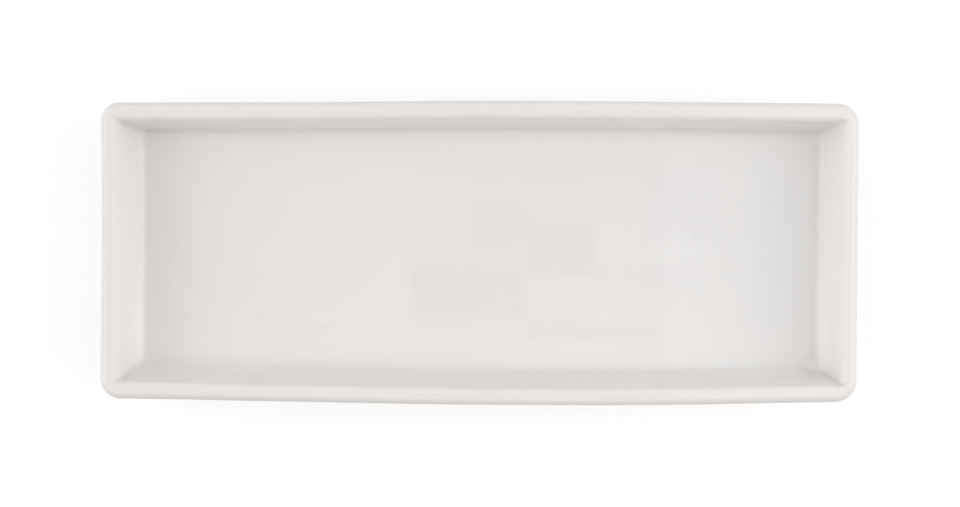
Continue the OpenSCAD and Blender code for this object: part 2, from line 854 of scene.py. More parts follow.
@dataclass(frozen=True)
class Speck:
    """A small spot under the glaze.

    Attributes:
        place: Where it lies.
        across: Half of its width along the plate.
        along: Half of its width across the plate.
        depth: How strong it is.
        tint: What it is made of.
        tall: Half of its height on a wall.
        edge: Where it starts to fade and where it has gone, in its own half widths.
    """

    place: Point
    across: float
    along: float
    depth: float
    tint: Tint = Tint.IRON
    tall: float = 1.0
    edge: tuple[float, float] = (0.5, 1.25)

    def mask(self, graph: FinishGraph) -> Signal:
        """Gives the speck's share of the surface.

        Args:
            graph: The material's nodes.

        Returns:
            The speck's depth inside, 0 outside.
        """
        size = (1.0 / self.across, 1.0 / self.along, 1.0 / self.tall)
        offset = graph.vector("SUBTRACT", graph.place, self.place)
        away = graph.vector("DISTANCE", graph.vector("MULTIPLY", offset, size), MIDDLE)
        return graph.band(away, Span(*self.edge, self.depth, 0.0))


@dataclass(frozen=True)
class Scratch:
    """A hairline mark left by cutlery.

    Attributes:
        bends: The places that it runs through.
        width: Half of its width.
        depth: How plain it is to see.
        edge: Where it starts to fade and where it has gone, in half widths.
        beyond: Distance at which nothing of it is left, in half widths.
    """

    bends: tuple[tuple[float, float], ...]
    width: float
    depth: float
    edge: tuple[float, float] = (0.4, 1.3)
    beyond: float = 4.0

    def mask(self, graph: FinishGraph, place: Signal) -> Signal:
        """Gives the mark's share of the surface.

        Args:
            graph: The material's nodes.
            place: The place seen from above, made to waver a little.

        Returns:
            The mark's depth on the line, 0 away from it.
        """
        nearest: Value = self.width * self.beyond
        for start, end in zip(self.bends, self.bends[1:]):
            nearest = graph.maths("MINIMUM", nearest, graph.away(place, start, end))
        fade, gone = (self.width * share for share in self.edge)
        return graph.band(nearest, Span(fade, gone, self.depth, 0.0))


@dataclass(frozen=True)
class StainAndShade:
    """A faint brown mark at the foot of a wall: most are stains where food has caught; one is
    painted shade, a warm band where the cove lies in shade.

    Attributes:
        start: Where it begins.
        end: Where it ends.
        reach: How far it spreads.
        depth: How strong it is.
        top: Height at which it has gone.
        soak: Share of that height up to which it keeps its strength.
        fray: How far its edge is broken up, as a share of its reach.
        edge: Where it starts to fade and where it has gone, in its own reach.
    """

    start: tuple[float, float]
    end: tuple[float, float]
    reach: float
    depth: float
    top: float
    soak: float = 0.5
    fray: float = 0.9
    edge: tuple[float, float] = (-0.2, 1.0)

    def mask(self, graph: FinishGraph, place: Signal, ragged: Signal) -> Signal:
        """Gives the stain's share of the surface.

        Args:
            graph: The material's nodes.
            place: The place seen from above.
            ragged: A pattern that breaks its edge.

        Returns:
            The stain's depth in its middle, 0 outside.
        """
        away = graph.away(place, self.start, self.end) / self.reach
        low = graph.band(graph.z, Span(self.top * self.soak, self.top, 1.0, 0.0))
        frayed = away + (ragged - NOISE_MEAN) * self.fray
        return graph.band(frayed, Span(*self.edge, self.depth, 0.0)) * low


class GlazedFace(Enum):
    """Which face of the plate a glaze lies on."""

    SHOWN = "glaze"
    UNDER = "underside glaze"


@dataclass(frozen=True)
class FineSpecks:
    """Small specks strewn over the level faces, the same ones each time.

    Attributes:
        apart: Mean distance between the places that may have one.
        size: Largest half width of a speck.
        share: Share of the places that have one.
        depth: How strong they are.
        least: Half width that even the smallest has, as a share of the largest.
        edge: Where a speck fades out, in its own half widths.
        upright: How far up or down a face has to look to have them.
    """

    apart: float
    size: float
    share: float
    depth: float
    least: float = 0.3
    edge: Span = Span(0.5, 1.2, 1.0, 0.0)
    upright: Span = Span(0.7, 0.9)

    def mask(self, graph: FinishGraph) -> Signal:
        """Gives the specks' share of the surface.

        Args:
            graph: The material's nodes.

        Returns:
            1 in a speck, 0 elsewhere.
        """
        cells = graph.node(
            "ShaderNodeTexVoronoi",
            {"voronoi_dimensions": "2D"},
            {"Vector": graph.place, "Scale": 1.0 / self.apart, "Randomness": 1.0},
        )
        away = Signal(graph, cells.outputs["Distance"]) * self.apart
        dice = graph.split(Signal(graph, cells.outputs["Color"]))
        chosen = graph.maths("LESS_THAN", dice[0], self.share)
        half_width = dice[1] * self.size + self.size * self.least
        inside = graph.band(away / half_width, self.edge)
        return inside * chosen * graph.band(abs(graph.up), self.upright)


@dataclass(frozen=True)
class GlazeTones:
    """The glaze's colour, which changes with its thickness and along the plate, with painted
    light in the coves and painted shade on the far wall and the near flank.

    Attributes:
        warm: Colour of the body as seen through the glaze, at the plate's left end.
        cool: The same at its right end, a little cooler.
        end_to_end: The change between the two, along the plate.
        pooled_and_shaded: Colour of glaze runs down the far wall, made darker and warmer there as
            painted shade, for that wall lies in shade.
        pool_facing: How far a wall faces near or far to have the runs and their painted shade.
        pool_height: The runs' strength, over the height.
        pool_across: The runs' strength, across the plate.
        pool_runs: The runs' strength, over their pattern.
        runs: Pattern of the runs, drawn out down the walls.
        pale: Painted light in the coves: a paler colour that lifts the shade at the foot of the
            end walls and the near wall.
        end_cove: The painted light in the coves at the ends, along the plate.
        end_cove_across: Their strength, across the plate.
        side_cove: The painted light in the cove at the near side, across the plate.
        side_cove_along: Its strength from the middle to the ends.
        cove_height: The painted light's strength, over the height.
        thin: Colour where it runs thin over the rim.
        rim_height: The rim, over the height.
        flank: Colour down the outside of the rim.
        half_sizes: Half of the plate's length and width.
        outward: How far a face looks outward to be on the flank.
        flank_up: How far a face looks up to be above the flank.
        shaded: Painted shade on the near side's flank, darker and warmer because that side gets
            the least light.
        near_across: The painted shade, across the plate.
        near_height: The painted shade, over the height.
        near_facing: How far a face looks to the near side to take the painted shade.
        mottling: Lightness of the small patches, over their pattern.
    """

    warm: Colour = (0.901, 0.874, 0.853, 1.0)
    cool: Colour = (0.894, 0.874, 0.860, 1.0)
    end_to_end: Span = Span(-60.0, 130.0)
    pooled_and_shaded: Colour = (0.882, 0.857, 0.834, 1.0)
    pool_facing: Span = Span(0.15, 0.6)
    pool_height: Span = Span(8.0, 26.0, 1.0, 0.5)
    pool_across: Span = Span(-30.0, 40.0, 0.0, 0.6)
    pool_runs: Span = Span(0.2, 0.8, 0.75, 1.1)
    runs: Pattern = Pattern(1.1, stretch=(0.02, 0.02, 1.0))
    pale: Colour = (0.975, 0.960, 0.945, 1.0)
    end_cove: Span = Span(138.0, 142.0)
    end_cove_across: Span = Span(20.0, -45.0, 0.2, 0.8)
    side_cove: Span = Span(-45.0, -49.5)
    side_cove_along: Span = Span(50.0, 132.0, 0.4, 1.0)
    cove_height: Span = Span(9.0, 20.0, 1.0, 0.0)
    thin: Colour = (0.905, 0.873, 0.850, 1.0)
    rim_height: Span = Span(28.6, 30.0)
    flank: Colour = (0.912, 0.862, 0.840, 1.0)
    half_sizes: tuple[float, float] = (150.0, 60.5)
    outward: Span = Span(0.0, 0.004)
    flank_up: Span = Span(0.1, 0.75, 1.0, 0.0)
    shaded: Colour = (0.842, 0.785, 0.747, 1.0)
    near_across: Span = Span(-40.0, -56.0)
    near_height: Span = Span(20.0, 27.0)
    near_facing: Span = Span(0.15, -0.85)
    mottling: Span = Span(0.25, 0.75, 0.996, 1.003)

    def runs_and_coves(self, graph: FinishGraph, facing: Signal) -> Signal:
        """Lays the colour of the well, from end to end, with glaze runs and painted shade on the
        far wall and painted light in the coves.

        Args:
            graph: The material's nodes.
            facing: How far a face looks to the far side.

        Returns:
            The colour.
        """
        # Glaze runs down the far wall, darkened and warmed as painted shade
        strength = graph.band(graph.z, self.pool_height) * graph.band(graph.y, self.pool_across)
        pool_and_shade = graph.band(abs(facing), self.pool_facing) * strength
        pool_and_shade = pool_and_shade * graph.band(self.runs.lay(graph), self.pool_runs)
        colour = graph.blend(graph.band(graph.x, self.end_to_end), self.warm, self.cool)
        colour = graph.blend(pool_and_shade, colour, self.pooled_and_shaded)
        # Painted light: the coves at the ends and along the near wall are made paler, lifting
        # their shade
        along = abs(graph.x)
        ends = graph.band(along, self.end_cove) * graph.band(graph.y, self.end_cove_across)
        side = graph.band(graph.y, self.side_cove) * graph.band(along, self.side_cove_along)
        cove = graph.maths("MAXIMUM", ends, side) * graph.band(graph.z, self.cove_height)
        return graph.blend(cove, colour, self.pale)

    def lay(self, graph: FinishGraph, mottle: Signal) -> Signal:
        """Lays the glaze's colour, with its painted light and shade.

        Args:
            graph: The material's nodes.
            mottle: A soft pattern of small patches.

        Returns:
            The colour, still without marks.
        """
        facing = graph.split(graph.normal)[1]
        colour = self.runs_and_coves(graph, facing)
        colour = graph.blend(graph.band(graph.z, self.rim_height), colour, self.thin)
        shares = (*(1.0 / half**2 for half in self.half_sizes), 0.0)
        flat = graph.vector("MULTIPLY", graph.place, shares)
        outward = graph.band(graph.vector("DOT_PRODUCT", flat, graph.normal), self.outward)
        flank = outward * graph.band(graph.up, self.flank_up)
        colour = graph.blend(flank, colour, self.flank)
        # Painted shade on the near flank, which gets the least light
        near = graph.band(graph.y, self.near_across) * graph.band(graph.z, self.near_height)
        near = outward * near * graph.band(facing, self.near_facing)
        colour = graph.blend(near, colour, self.shaded)
        shade = graph.band(mottle, self.mottling)
        grey = graph.node("ShaderNodeCombineXYZ", None, {0: shade, 1: shade, 2: shade})
        return graph.blend(1.0, colour, Signal(graph, grey.outputs[0]), "MULTIPLY")


@dataclass(frozen=True)
class GlazeFinish:
    """Clear gloss glaze over white porcelain.

    Attributes:
        face: Which face it lies on.
        tones: Its colour, with painted light in the coves and painted shade on the far wall and
            the near flank.
        brown: Colour of the stain marks, of the painted shade at the left wall's foot, and of the
            faint specks.
        line: Colour of scratches.
        roughness: Roughness of clean glaze.
        index: Index of refraction.
        specks: Spots at known places.
        scratches: Hairline marks at known places.
        stains_and_shade: Brown stain marks, and a band of painted shade, at known places.
        faint: Fine brown specks all over.
        dots: Iron specks, far apart.
        well: Heights over which scratches, stain marks and painted shade come to show.
        mottle: Pattern of small patches.
        ragged: Pattern that breaks the edges of the stain marks and the painted shade.
        wander: Pattern that the scratches waver by.
        wander_reach: How far they waver.
        wear: Roughness that wear adds, over the patches.
        scratch_wear: Roughness that a scratch adds.
        dot_wear: Roughness that an iron speck adds.
        ripple: Pattern of the glaze's fine ripple.
        ripple_height: Height of the ripple.
        wave: Pattern of its long waves.
        wave_height: Height of the waves.
        dot_depth: Depth of an iron speck's pit.
        scratch_depth: Depth of a scratch.
    """

    face: GlazedFace
    tones: GlazeTones = GlazeTones()
    brown: Colour = (0.520, 0.360, 0.220, 1.0)
    line: Colour = (0.420, 0.390, 0.360, 1.0)
    roughness: float = 0.02
    index: float = 1.52
    specks: tuple[Speck, ...] = ()
    scratches: tuple[Scratch, ...] = ()
    stains_and_shade: tuple[StainAndShade, ...] = ()
    faint: FineSpecks = FineSpecks(3.0, 0.11, 0.6, 0.2)
    dots: FineSpecks = FineSpecks(27.0, 0.13, 0.4, 0.4)
    well: Span = Span(4.0, 5.0)
    mottle: Pattern = Pattern(9.0, 4.0, 0.6)
    ragged: Pattern = Pattern(2.4, 4.0, 0.65)
    wander: Pattern = Pattern(2.6, 1.0, output=Noise.COLOUR)
    wander_reach: float = 1.4
    wear: Span = Span(0.45, 0.8, 0.0, 0.01)
    scratch_wear: float = 0.4
    dot_wear: float = 0.2
    ripple: Pattern = Pattern(3.2, 1.0)
    ripple_height: float = 0.0002
    wave: Pattern = Pattern(30.0, 1.0)
    wave_height: float = 0.022
    dot_depth: float = 0.01
    scratch_depth: float = 0.003

    def stained_and_shaded(self, graph: FinishGraph, colour: Signal, flat: Signal,
                inside: Signal) -> Signal:
        """Lays the stain marks and the painted shade.

        Args:
            graph: The material's nodes.
            colour: The glaze's own colour.
            flat: The place seen from above.
            inside: 1 where stain marks and painted shade may show.

        Returns:
            The stained colour.
        """
        ragged = self.ragged.lay(graph)
        for stain in self.stains_and_shade:
            mask = stain.mask(graph, flat, ragged) * inside
            colour = graph.blend(mask, colour, self.brown)
        return colour

    def scored(self, graph: FinishGraph, flat: Signal, inside: Signal) -> Value:
        """Draws the scratches.

        Args:
            graph: The material's nodes.
            flat: The place seen from above.
            inside: 1 where scratches may show.

        Returns:
            The strongest scratch at each place.
        """
        wander = graph.vector("SUBTRACT", self.wander.lay(graph), (NOISE_MEAN,) * 3)
        shift = graph.vector("MULTIPLY", wander, (self.wander_reach, self.wander_reach, 0.0))
        wavering = graph.vector("ADD", flat, shift)
        lines: Value = 0.0
        for scratch in self.scratches:
            lines = graph.maths("MAXIMUM", lines, scratch.mask(graph, wavering) * inside)
        return lines

    def build(self) -> bpy.types.Material:
        """Builds the material.

        Returns:
            The finished material.
        """
        graph = FinishGraph(self.face.value)
        mottle = self.mottle.lay(graph)
        inside = graph.band(graph.z, self.well)
        flat = graph.vector("MULTIPLY", graph.place, (1.0, 1.0, 0.0))
        colour = self.stained_and_shaded(graph, self.tones.lay(graph, mottle), flat, inside)

        faint, dots = self.faint.mask(graph), self.dots.mask(graph)
        colour = graph.blend(faint * self.faint.depth, colour, self.brown)
        colour = graph.blend(dots * self.dots.depth, colour, Tint.IRON.value)
        for speck in self.specks:
            colour = graph.blend(speck.mask(graph), colour, speck.tint.value)
        lines = self.scored(graph, flat, inside)
        colour = graph.blend(lines, colour, self.line)

        roughness = self.roughness + graph.band(mottle, self.wear)
        roughness = roughness + lines * self.scratch_wear + dots * self.dot_wear
        relief = self.ripple.lay(graph) * self.ripple_height
        relief = relief + self.wave.lay(graph) * self.wave_height
        relief = relief - dots * self.dot_depth - lines * self.scratch_depth
        return graph.fire(colour, roughness, self.index, relief)


@dataclass(frozen=True)
class BisqueFinish:
    """Bare fired porcelain, matt and finely grained, ground smooth where it stands.

    Attributes:
        base: Colour of the fired body.
        toasted: Colour of the rim of body next to the glaze.
        rubbed: Colour of the standing face, greyed by tables.
        patches: Pattern of the toasted patches.
        patch_depth: Their strength, over that pattern.
        edge: Strength of the toasting next to the glaze, over the height.
        standing: The standing face, over the height.
        grind: Pattern of the grinding, drawn out along the plate.
        rubbing: Strength of the greying, over the grinding.
        grain: Pattern of the body's grain.
        roughness: Roughness of the bare body.
        grain_wear: Roughness that the grain adds.
        polish: Roughness that grinding takes off.
        index: Index of refraction.
        grain_height: Height of the grain.
        grind_height: Height of the grinding marks.
    """

    base: Colour = (0.800, 0.780, 0.740, 1.0)
    toasted: Colour = (0.700, 0.640, 0.560, 1.0)
    rubbed: Colour = (0.560, 0.545, 0.520, 1.0)
    patches: Pattern = Pattern(11.0, 4.0)
    patch_depth: Span = Span(0.3, 0.7, 0.0, 0.35)
    edge: Span = Span(0.7, 1.0, 0.0, 0.5)
    standing: Span = Span(0.02, 0.16, 1.0, 0.0)
    grind: Pattern = Pattern(0.5, 3.0, stretch=(0.06, 1.6, 1.0))
    rubbing: Span = Span(0.35, 0.75, 0.15, 0.8)
    grain: Pattern = Pattern(0.28, 4.0, 0.7)
    roughness: float = 0.62
    grain_wear: float = 0.2
    polish: float = 0.22
    index: float = 1.5
    grain_height: float = 0.035
    grind_height: float = 0.01

    def build(self) -> bpy.types.Material:
        """Builds the material.

        Returns:
            The finished material.
        """
        graph = FinishGraph("bisque")
        grain, grind = self.grain.lay(graph), self.grind.lay(graph)
        standing = graph.band(graph.z, self.standing)
        toasting = graph.band(self.patches.lay(graph), self.patch_depth)
        colour = graph.blend(toasting, self.base, self.toasted)
        colour = graph.blend(graph.band(graph.z, self.edge), colour, self.toasted)
        colour = graph.blend(standing * graph.band(grind, self.rubbing), colour, self.rubbed)
        roughness = self.roughness + grain * self.grain_wear - standing * self.polish
        relief = grain * self.grain_height + standing * grind * self.grind_height
        return graph.fire(colour, roughness, self.index, relief)


@dataclass
class Ware:
    """What each piece of the plate is thrown from.

    Attributes:
        section: The tray's section.
        potting: The maker of meshes.
        skin: Thickness of the glaze.
    """

    section: TraySection
    potting: Potting
    skin: float = 0.35


@dataclass
class GlazeSkin(Ware):
    """A skin of glaze that ends in a bead on the foot ring.

    Attributes:
        bite: How far the glaze sinks into the body.
        fillet: Radius where the glaze turns from the underside down the foot ring.
        fillet_steps: Number of steps in that radius.
        bead_steps: Number of steps round the bead.
    """

    bite: float = 0.02
    fillet: float = 0.55
    fillet_steps: int = 5
    bead_steps: int = 6


@dataclass
class PorcelainBody(Ware):
    """The fired body under its glaze; only the foot ring is left bare."""

    def stations(self) -> list[Station]:
        """Follows the body from the underside over the foot ring, wall and rim to the floor.

        Returns:
            The stations in order.
        """
        return [
            *self.section.foot_ring(self.skin),
            *self.section.outside(self.skin),
            *self.section.inside(self.skin),
        ]

    def build(self) -> bpy.types.Object:
        """Builds the body and dresses it.

        Returns:
            The piece.
        """
        piece = self.potting.throw("fired_body", self.stations(), 0.0, self.section.crown)
        piece.data.materials.append(BisqueFinish().build())
        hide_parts("porcelain_body")
        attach(piece, "root")
        return piece


@dataclass
class GlazeCoat(GlazeSkin):
    """The skin of glaze over the tray, down to a line just above the standing face.

    Attributes:
        run_in: How far outside the foot ring the underside starts to curve down.
        specks: Flecks that show on the real plate.
        scratches: Hairline marks that show.
        stains_and_shade: Brown stain marks that show, and a band of painted shade at the left
            wall's foot.
    """

    run_in: float = 2.2
    specks: tuple[Speck, ...] = (
        Speck((115.1, 48.5, 6.8), 0.16, 0.75, 0.54),
        Speck((89.5, 5.9, 6.6), 1.35, 1.35, 0.12, Tint.ASH),
        Speck((-127.0, 3.8, 6.6), 0.24, 0.24, 0.58),
        Speck((-92.4, 1.8, 6.6), 0.14, 0.14, 0.43),
        Speck((-130.1, -4.3, 6.6), 0.20, 0.20, 0.50, Tint.RUST),
        Speck((-129.2, -14.3, 6.6), 0.22, 0.20, 0.54, Tint.RUST),
        Speck((-122.6, -26.9, 6.6), 0.70, 0.22, 0.40, Tint.RUST),
        Speck((-90.1, -22.8, 6.6), 0.32, 0.24, 0.22, Tint.RUST),
        Speck((-81.9, -24.3, 6.6), 0.16, 0.16, 0.50),
        Speck((-111.7, -20.7, 6.6), 0.26, 0.26, 0.22, Tint.RUST),
        Speck((-113.2, -40.7, 6.6), 0.26, 0.20, 0.22, Tint.RUST),
        Speck((-126.4, 45.7, 6.6), 0.26, 0.26, 0.40, Tint.RUST),
        Speck((-135.2, 14.9, 6.6), 0.20, 0.20, 0.36),
        Speck((-135.7, -26.2, 6.6), 0.16, 0.24, 0.32),
        Speck((-67.6, -2.6, 6.6), 0.30, 0.22, 0.14),
        Speck((-115.9, -14.0, 6.6), 0.26, 0.26, 0.13),
        Speck((-55.1, -36.5, 6.6), 0.16, 0.36, 0.22),
        Speck((111.3, -42.4, 6.6), 0.30, 0.18, 0.36, Tint.RUST),
        Speck((108.0, -44.4, 6.6), 0.18, 0.16, 0.29, Tint.RUST),
        Speck((106.9, -5.9, 6.6), 0.14, 0.14, 0.36),
        Speck((139.8, -47.9, 7.2), 0.34, 0.26, 0.36, Tint.RUST),
        Speck((136.3, -45.5, 6.6), 0.45, 0.24, 0.20, Tint.RUST),
        Speck((-142.4, 41.8, 15.6), 0.6, 0.24, 0.43, Tint.IRON, 0.5),
        Speck((-142.2, 46.9, 10.0), 0.6, 0.22, 0.36, Tint.IRON, 0.4),
        Speck((143.3, 46.3, 17.6), 0.6, 0.24, 0.43, Tint.RUST, 0.5),
        Speck((143.7, 31.2, 22.0), 0.6, 0.70, 0.29, Tint.IRON, 0.3),
        Speck((-141.8, 57.2, 30.0), 0.45, 0.30, 0.25, Tint.RUST),
        Speck((-139.8, 55.0, 29.9), 0.22, 0.22, 0.22, Tint.RUST),
    )
    scratches: tuple[Scratch, ...] = (
        Scratch(((-93.4, -11.6), (-98.4, -14.6), (-98.3, -15.6), (-95.7, -16.6)), 0.09, 0.26),
        Scratch(
            ((-92.3, -26.6), (-88.4, -30.1), (-83.4, -34.6), (-83.9, -36.8), (-85.3, -38.2)),
            0.10,
            0.33,
        ),
        Scratch(
            ((-69.5, -33.6), (-67.5, -31.6), (-65.4, -33.2), (-64.7, -31.9), (-62.6, -31.7)),
            0.09,
            0.36,
        ),
        Scratch(((-68.7, -38.0), (-70.9, -39.2), (-72.6, -41.7)), 0.08, 0.22),
    )
    stains_and_shade: tuple[StainAndShade, ...] = (
        StainAndShade((-137.0, 50.6), (-108.0, 50.8), 1.7, 0.15, 16.0),
        # Painted shade: a faint warm band along the left wall's foot, where the cove lies in
        # shade
        StainAndShade((-136.6, 47.0), (-134.6, 24.0), 3.4, 0.07, 8.0),
        StainAndShade((-142.6, 53.4), (-138.0, 50.0), 1.6, 0.12, 30.0),
        StainAndShade((133.5, -49.8), (141.0, -50.6), 2.0, 0.23, 28.0),
        StainAndShade((140.4, -50.6), (144.8, -52.8), 1.8, 0.16, 40.0),
        StainAndShade((139.8, 49.0), (143.4, 52.0), 1.5, 0.12, 28.0),
        StainAndShade((-139.5, -49.5), (-142.6, -52.4), 1.3, 0.10, 28.0),
    )

    def stations(self) -> list[Station]:
        """Follows the coat where it lies on the body, round its bead and back over its face.

        Returns:
            The stations in order.
        """
        tray = self.section
        deep = self.skin + self.bite
        flank = tray.foot - self.skin
        turn = (flank - self.fillet, tray.underside - self.fillet)
        bead = (tray.foot - self.skin / 2.0, tray.bare_line + self.skin / 2.0)
        ring = tray.foot_corner
        hidden = [*tray.outside(deep), *tray.inside(deep)][::-1]
        return [
            *hidden,
            level(tray.foot - tray.lap, tray.underside + deep, ring),
            level(tray.foot + self.bite, tray.underside + deep, ring),
            level(tray.foot + self.bite, bead[1], ring),
            *round_about(bead, self.skin / 2.0, -180.0, 0.0, self.bead_steps, ring),
            *round_about(turn, self.fillet, 180.0, 90.0, self.fillet_steps, ring),
            level(tray.foot - self.run_in, tray.underside, ring),
            *tray.outside(0.0),
            *tray.inside(0.0),
        ]

    def build(self) -> bpy.types.Object:
        """Builds the coat and dresses it.

        Returns:
            The piece.
        """
        crown = self.section.crown
        piece = self.potting.throw("tray_glaze", self.stations(), crown, crown)
        finish = GlazeFinish(
            GlazedFace.SHOWN,
            specks=self.specks,
            scratches=self.scratches,
            stains_and_shade=self.stains_and_shade,
        )
        piece.data.materials.append(finish.build())
        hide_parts("glaze_coat")
        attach(piece, "root")
        return piece


@dataclass
class UndersideGlaze(GlazeSkin):
    """The glaze inside the foot ring.

    Attributes:
        run_in: How far inside the fillet the flat underside starts.
    """

    run_in: float = 1.5

    def stations(self) -> list[Station]:
        """Follows the glaze from its face round its bead to where it lies on the body.

        Returns:
            The stations in order.
        """
        tray = self.section
        inner = tray.foot + tray.foot_width
        ring = tray.foot_corner - tray.foot_width
        turn = (inner + self.skin + self.fillet, tray.underside - self.fillet)
        bead = (inner + self.skin / 2.0, tray.bare_line + self.skin / 2.0)
        top = tray.underside + self.skin + self.bite
        return [
            level(turn[0] + self.run_in, tray.underside, ring),
            *round_about(turn, self.fillet, 90.0, 0.0, self.fillet_steps, ring),
            *round_about(bead, self.skin / 2.0, -180.0, 0.0, self.bead_steps, ring),
            level(inner - self.bite, top, ring),
            level(inner + tray.lap, top, ring),
        ]

    def build(self) -> bpy.types.Object:
        """Builds the glaze and dresses it.

        Returns:
            The piece.
        """
        piece = self.potting.throw("base_glaze", self.stations(), 0.0, 0.0)
        piece.data.materials.append(GlazeFinish(GlazedFace.UNDER).build())
        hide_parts("underside_glaze")
        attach(piece, "root")
        return piece


@dataclass(frozen=True)
class Softbox:
    """A large soft studio lamp that points at the plate.

    Attributes:
        name: The lamp's name.
        azimuth: Its direction from the plate, 0 to the right and 90 to the far side.
        elevation: Its height above the table, as an angle.
        strength: Its brightness, where 1 is white.
        mirrored: Whether it shows in the glaze; a low fill only lights the walls.
        width: Its width in metres.
        height: Its height in metres.
        distance: Its distance from the plate in metres.
    """

    name: str
    azimuth: float
    elevation: float
    strength: float
    mirrored: bool = True
    width: float = 0.8
    height: float = 0.5
    distance: float = 1.2

    def build(self) -> bpy.types.Object:
        """Hangs the lamp.

        Returns:
            The lamp.
        """
        lamp = bpy.data.lights.new(self.name, "AREA")
        lamp.shape = "RECTANGLE"
        lamp.size = self.width
        lamp.size_y = self.height
        lamp.energy = self.strength * self.width * self.height * math.pi
        made = bpy.data.objects.new(self.name, lamp)
        turn, rise = math.radians(self.azimuth), math.radians(self.elevation)
        flat = math.cos(rise)
        towards = Vector((flat * math.cos(turn), flat * math.sin(turn), math.sin(rise)))
        made.visible_glossy = self.mirrored
        made.location = towards * self.distance
        made.rotation_euler = (-towards).to_track_quat("-Z", "Y").to_euler()
        bpy.context.scene.collection.objects.link(made)
        return made


@dataclass(frozen=True)
class OverheadCamera:
    """The camera, straight above the plate, framed with a shifted lens.

    Attributes:
        place: Where it hangs, in millimetres.
        focal: Focal length in pixels of the photograph's width.
        centre: Where the plate's middle falls in the photograph, in pixels.
        plane: Height of the plane in which the plate's middle is taken.
        sensor: Width of the sensor.
        clip: Distance in metres before which nothing shows.
    """

    place: Point = (8.0, 24.0, 404.0)
    focal: float = 953.0
    centre: tuple[float, float] = (479.5, 252.8)
    plane: float = 26.6
    sensor: float = 36.0
    clip: float = 0.01

    def build(self) -> bpy.types.Object:
        """Hangs the camera.

        Returns:
            The camera.
        """
        lens = bpy.data.cameras.new("camera")
        lens.sensor_fit = "HORIZONTAL"
        lens.sensor_width = self.sensor
        lens.lens = self.focal / PHOTO_WIDTH * self.sensor
        lens.clip_start = self.clip
        scale = self.focal / (self.place[2] - self.plane)
        right = self.centre[0] - PHOTO_WIDTH / 2.0 + self.place[0] * scale
        down = self.centre[1] - PHOTO_HEIGHT / 2.0 - self.place[1] * scale
        lens.shift_x = -right / PHOTO_WIDTH
        lens.shift_y = down / PHOTO_WIDTH
        made = bpy.data.objects.new("camera", lens)
        made.location = tuple(value * MM for value in self.place)
        bpy.context.scene.collection.objects.link(made)
        bpy.context.scene.camera = made
        return made


@dataclass(frozen=True)
class CeilingPatch:
    """A soft-edged patch of the ceiling, which the glossy floor of the well reflects.

    Its edges are slopes: how far a direction leans from upright for each unit that it rises.

    Attributes:
        left: Slope of its left edge.
        right: Slope of its right edge.
        near: Slope of its near edge.
        far: Slope of its far edge.
        colour: Its colour, where 1 is white.
        blur: Half of its soft edge's width.
    """

    left: float
    right: float
    near: float
    far: float
    colour: Colour
    blur: float = 0.0015

    def mask(self, graph: NodeGraph, across: Signal, along: Signal) -> Signal:
        """Gives the patch's share of the ceiling.

        Args:
            graph: The world's nodes.
            across: The direction's slope along the plate.
            along: The direction's slope across the plate.

        Returns:
            1 inside, 0 outside.
        """
        inside: Value = 1.0
        for value, low, high in ((across, self.left, self.right), (along, self.near, self.far)):
            rise = graph.band(value, Span(low - self.blur, low + self.blur))
            fall = graph.band(value, Span(high - self.blur, high + self.blur, 1.0, 0.0))
            inside = rise * fall * inside
        return inside


